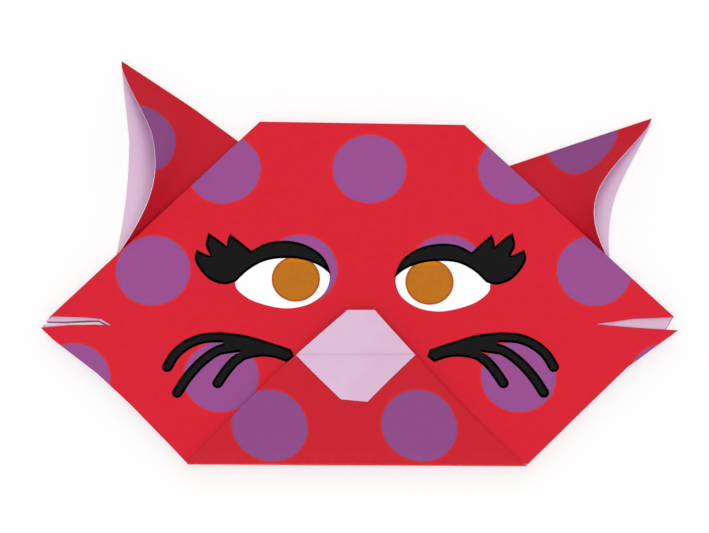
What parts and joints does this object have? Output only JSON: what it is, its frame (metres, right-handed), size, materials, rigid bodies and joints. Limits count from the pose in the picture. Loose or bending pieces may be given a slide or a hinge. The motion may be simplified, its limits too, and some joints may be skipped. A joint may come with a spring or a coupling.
{
  "type": "origami cat face",
  "caption": "Cat face folded from one square sheet of spotted paper, with open ears, slit mouth corners, a turned-up chin flap and a blunt nose.",
  "frame": {"origin": "centre of the bounding box on the surface that the cat lies on", "axes": "+X across the face to the right ear, +Y to the top of the head, +Z out of the face, up from the surface"},
  "size_m": [0.1056, 0.0728, 0.0077],
  "materials": {
    "printed_paper": "matte red print with purple dots, pale pink reverse"
  },
  "bodies": {
    "root": {"folded_sheet": "printed_paper"}
  },
  "joints": []
}
